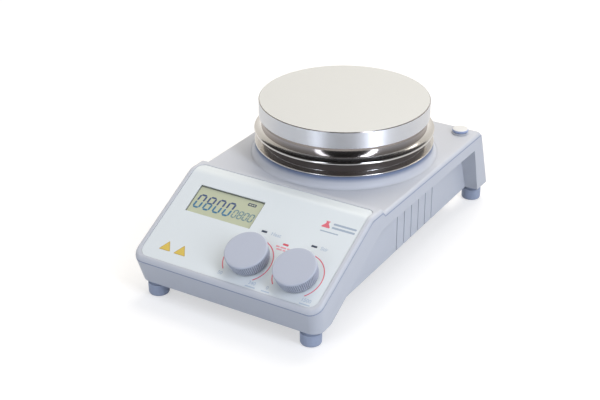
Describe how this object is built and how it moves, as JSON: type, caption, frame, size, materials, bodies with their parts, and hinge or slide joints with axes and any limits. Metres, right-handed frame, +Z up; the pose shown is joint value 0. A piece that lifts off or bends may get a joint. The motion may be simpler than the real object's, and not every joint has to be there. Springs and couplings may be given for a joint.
{
  "type": "magnetic stirrer",
  "caption": "Hotplate magnetic stirrer: round heating plate on a polished heat shield, sloped control panel with a display and knobs, box housing on round feet.",
  "frame": {"origin": "middle of the footprint, on the surface that the feet stand on", "axes": "+Z up, +Y to the back, the control panel faces -Y, +X to the right seen from the front"},
  "size_m": [0.1612, 0.2896, 0.115],
  "materials": {
    "housing_plastic": "satin, fine moulded grain",
    "overlay_film": "satin printed film",
    "knob_plastic": "matte, fluted side",
    "foot_rubber": "matte",
    "coated_aluminium": "turned side, pale ceramic-coated top",
    "polished_steel": "polished stainless steel",
    "zinc_steel": "zinc plated",
    "black_plastic": "satin",
    "motor_paint": "satin",
    "circuit_board": "solder mask",
    "display_glass": "reflective liquid crystal behind clear glass",
    "brass": "turned",
    "magnet_nickel": "nickel plated magnet",
    "lamp_window": "tinted",
    "red_lamp_window": "tinted red",
    "ceramic_fibre": "pressed fibre board",
    "white_plastic": "satin"
  },
  "bodies": {
    "housing": {"lower_housing": "housing_plastic", "top_cover": "housing_plastic", "control_overlay": "overlay_film", "base_plate": "zinc_steel", "heating_plate": "coated_aluminium", "heat_shield": "polished_steel", "heating_element": "zinc_steel", "element_clamp": "zinc_steel", "insulation_disc": "ceramic_fibre", "temperature_sensor": "polished_steel", "stir_motor": "motor_paint", "motor_bracket": "zinc_steel", "control_board": "circuit_board", "display_module": "display_glass", "heat_led": "lamp_window", "stir_led": "lamp_window", "hot_surface_led": "red_lamp_window", "power_board": "circuit_board", "transformer": "motor_paint", "triac_heatsink": "zinc_steel", "board_carrier": "white_plastic", "inlet_socket": "black_plastic", "switch_frame": "black_plastic", "probe_socket": "polished_steel", "rod_socket": "housing_plastic", "inlet_pin_earth": "brass", "inlet_pin_line": "brass", "inlet_pin_neutral": "brass", "heat_encoder": "zinc_steel", "heat_nut": "brass", "stir_encoder": "zinc_steel", "stir_nut": "brass", "plate_post_1": "zinc_steel", "base_screw_1": "zinc_steel", "plate_post_2": "zinc_steel", "base_screw_2": "zinc_steel", "plate_post_3": "zinc_steel", "base_screw_3": "zinc_steel", "plate_post_4": "zinc_steel", "base_screw_4": "zinc_steel", "foot_front_left": "foot_rubber", "foot_screw_front_left": "zinc_steel", "foot_front_right": "foot_rubber", "foot_screw_front_right": "zinc_steel", "foot_rear_left": "foot_rubber", "foot_screw_rear_left": "zinc_steel", "foot_rear_right": "foot_rubber", "foot_screw_rear_right": "zinc_steel"},
    "rotor": {"motor_shaft": "polished_steel", "magnet_carrier": "zinc_steel", "drive_magnet_left": "magnet_nickel", "drive_magnet_right": "magnet_nickel"},
    "heat_dial": {"heat_knob": "knob_plastic", "heat_shaft": "polished_steel"},
    "stir_dial": {"stir_knob": "knob_plastic", "stir_shaft": "polished_steel"},
    "switch_rocker": {"power_rocker": "black_plastic"},
    "fuse_tray": {"fuse_drawer": "black_plastic"},
    "socket_plug": {"rod_socket_cap": "white_plastic"}
  },
  "joints": [
    {"name": "rotor_spin", "type": "hinge", "parent": "housing", "child": "rotor", "pos_m": [0, 0.0308, 0], "axis": [0, 0, 1], "continuous": true},
    {"name": "heat_knob_turn", "type": "hinge", "parent": "housing", "child": "heat_dial", "pos_m": [0.0101, -0.12142, 0.04602], "axis": [0, 0.4565, -0.8897], "range_deg": [0, 270]},
    {"name": "stir_knob_turn", "type": "hinge", "parent": "housing", "child": "stir_dial", "pos_m": [0.0517, -0.12267, 0.04538], "axis": [0, 0.4565, -0.8897], "range_deg": [-144, 126]},
    {"name": "power_rocker_tilt", "type": "hinge", "parent": "housing", "child": "switch_rocker", "pos_m": [0.002, 0.1098, 0.036], "axis": [1, 0, 0], "range_deg": [-16, 0]},
    {"name": "fuse_drawer_slide", "type": "slide", "parent": "housing", "child": "fuse_tray", "axis": [0, 1, 0], "range_m": [0, 0.016]},
    {"name": "socket_plug_lift", "type": "slide", "parent": "housing", "child": "socket_plug", "axis": [0, 0, 1], "range_m": [0, 0.012]}
  ]
}
